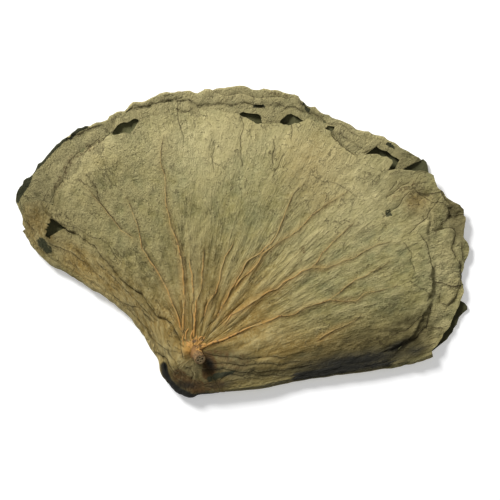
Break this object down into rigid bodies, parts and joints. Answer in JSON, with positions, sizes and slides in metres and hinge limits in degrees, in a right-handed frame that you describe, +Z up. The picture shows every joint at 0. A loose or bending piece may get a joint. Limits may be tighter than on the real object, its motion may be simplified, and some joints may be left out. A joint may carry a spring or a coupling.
{
  "type": "dried lotus leaf",
  "caption": "Large round dried leaf folded in half like a fan, pale ribbed underside out, rim turned over at the back, with the cut stub of its stalk.",
  "frame": {"origin": "centre of the leaf's box, on the surface that the leaf lies on", "axes": "+Z up from that surface; +X along the leaf's length, towards the right end of the fold; +Y from the stalk up towards the rim"},
  "size_m": [0.4232, 0.2854, 0.0267],
  "materials": {
    "dried_leaf": "matt, crisp and papery, olive and tan with raised ribs"
  },
  "bodies": {
    "root": {"lotus_leaf": "dried_leaf"}
  },
  "joints": []
}
